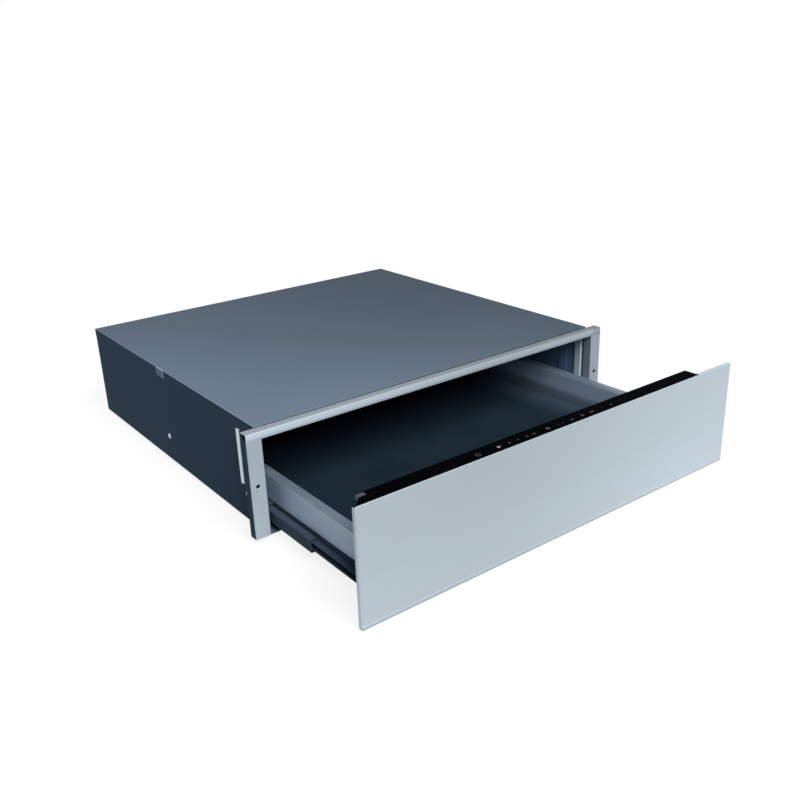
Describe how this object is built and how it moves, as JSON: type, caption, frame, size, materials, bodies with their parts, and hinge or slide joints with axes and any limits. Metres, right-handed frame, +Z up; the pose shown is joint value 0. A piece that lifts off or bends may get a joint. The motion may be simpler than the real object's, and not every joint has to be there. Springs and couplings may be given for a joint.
{
  "type": "warming drawer",
  "caption": "Built-in handleless warming drawer with a touch strip along the top of its front, shown pulled open on ball-bearing slides in a flanged housing with a fan",
  "frame": {"origin": "midway between the two cabinet fixing holes, in the front face of the bezel", "axes": "+X to the right seen from in front, +Y to the back, +Z up; the drawer opens along -Y"},
  "size_m": [0.594, 0.764, 0.142],
  "materials": {
    "housing_paint": "satin slate-grey sheet",
    "stainless": "brushed along its length, fingerprint-resistant",
    "galvanised": "matt zinc-coated sheet",
    "spring_steel": "bright strip",
    "post_zinc": "zinc-coated",
    "slide_steel": "black-passivated, lightly greased",
    "cage_steel": "polished balls in a pressed retainer",
    "drawer_side_paint": "fine satin mid grey",
    "drawer_paint": "dark satin",
    "warm_plate": "anodised dark",
    "mat_rubber": "fine-grained matt silicone",
    "heater_silicone": "matt silicone with a wire pattern",
    "mineral_wool": "pressed fibre",
    "sensor_metal": "turned",
    "zinc_screw": "zinc-plated",
    "black_glass": "glossy black, screen-printed marks",
    "cap_plastic": "moulded grey",
    "box_plastic": "moulded black",
    "circuit_board": "solder-masked",
    "touch_foam": "conductive foam",
    "guard_wire": "bright",
    "motor_metal": "satin",
    "shaft_steel": "ground",
    "latch_plastic": "moulded light grey",
    "latch_spring_steel": "spring wire",
    "terminal_plastic": "moulded pale grey",
    "gland_plastic": "moulded black",
    "rubber": "matt black"
  },
  "bodies": {
    "housing": {"base_plate": "housing_paint", "side_panel_left": "housing_paint", "side_panel_right": "housing_paint", "rear_panel": "housing_paint", "top_cover": "housing_paint", "feet": "rubber", "bezel_stile_left": "stainless", "bezel_stile_right": "stainless", "bezel_top_rail": "stainless", "niche_leaf_left": "spring_steel", "niche_leaf_right": "spring_steel", "front_post_left": "post_zinc", "front_post_right": "post_zinc", "slide_bracket_left": "galvanised", "slide_bracket_right": "galvanised", "slide_outer_left": "slide_steel", "slide_outer_right": "slide_steel", "slide_stops": "rubber", "housing_screws": "zinc_screw", "fan_frame": "box_plastic", "fan_guard": "guard_wire", "fan_motor": "motor_metal", "latch_body": "latch_plastic", "latch_spring": "latch_spring_steel", "terminal_box": "terminal_plastic", "terminal_lid": "terminal_plastic", "terminal_block": "terminal_plastic", "cable_gland": "gland_plastic"},
    "drawer": {"drawer_pan": "drawer_paint", "drawer_side_left": "drawer_side_paint", "drawer_side_right": "drawer_side_paint", "drawer_front_wall": "drawer_paint", "drawer_back": "drawer_side_paint", "insulation_pad": "mineral_wool", "temperature_sensor": "sensor_metal", "heating_mat": "heater_silicone", "floor_plate": "warm_plate", "anti_slip_mat": "mat_rubber", "slide_inner_left": "slide_steel", "slide_inner_right": "slide_steel", "front_skin": "stainless", "front_carrier": "galvanised", "front_insulation": "mineral_wool", "front_plug_left": "galvanised", "front_plug_right": "galvanised", "front_screws": "zinc_screw", "control_glass": "black_glass", "corner_cap": "cap_plastic", "control_box": "box_plastic", "control_board": "circuit_board", "touch_pads": "touch_foam"},
    "middle_left": {"slide_middle_left": "slide_steel"},
    "middle_right": {"slide_middle_right": "slide_steel"},
    "cage_outer_left": {"ball_cage_outer_left": "cage_steel"},
    "cage_outer_right": {"ball_cage_outer_right": "cage_steel"},
    "cage_inner_left": {"ball_cage_inner_left": "cage_steel"},
    "cage_inner_right": {"ball_cage_inner_right": "cage_steel"},
    "impeller": {"fan_impeller": "box_plastic", "fan_shaft": "shaft_steel"},
    "plunger": {"latch_plunger": "latch_plastic"}
  },
  "joints": [
    {"name": "drawer_slide", "type": "slide", "parent": "housing", "child": "drawer", "axis": [0, -1, 0], "range_m": [-0.1945, 0.2255]},
    {"name": "slide_middle_left", "type": "slide", "parent": "housing", "child": "middle_left", "axis": [0, -1, 0], "range_m": [-0.09785, 0.11335]},
    {"name": "slide_middle_right", "type": "slide", "parent": "housing", "child": "middle_right", "axis": [0, -1, 0], "range_m": [-0.09785, 0.11335]},
    {"name": "cage_outer_travel_left", "type": "slide", "parent": "housing", "child": "cage_outer_left", "axis": [0, -1, 0], "range_m": [-0.04923, 0.05698]},
    {"name": "cage_outer_travel_right", "type": "slide", "parent": "housing", "child": "cage_outer_right", "axis": [0, -1, 0], "range_m": [-0.04923, 0.05698]},
    {"name": "cage_inner_travel_left", "type": "slide", "parent": "housing", "child": "cage_inner_left", "axis": [0, -1, 0], "range_m": [-0.14647, 0.16972]},
    {"name": "cage_inner_travel_right", "type": "slide", "parent": "housing", "child": "cage_inner_right", "axis": [0, -1, 0], "range_m": [-0.14647, 0.16972]},
    {"name": "fan_spin", "type": "hinge", "parent": "housing", "child": "impeller", "pos_m": [0, 0.494, 0.0025], "axis": [0, 1, 0], "continuous": true},
    {"name": "latch_press", "type": "slide", "parent": "housing", "child": "plunger", "axis": [0, 1, 0], "range_m": [0, 0.006], "stiffness_N_per_m": 800, "springref_m": -0.004, "deforming": ["latch_spring"]}
  ],
  "couplings": [
    {"joint": "slide_middle_left", "follows": "drawer_slide", "ratio": 0.5},
    {"joint": "slide_middle_right", "follows": "drawer_slide", "ratio": 0.5},
    {"joint": "cage_outer_travel_left", "follows": "drawer_slide", "ratio": 0.25},
    {"joint": "cage_outer_travel_right", "follows": "drawer_slide", "ratio": 0.25},
    {"joint": "cage_inner_travel_left", "follows": "drawer_slide", "ratio": 0.75},
    {"joint": "cage_inner_travel_right", "follows": "drawer_slide", "ratio": 0.75}
  ]
}
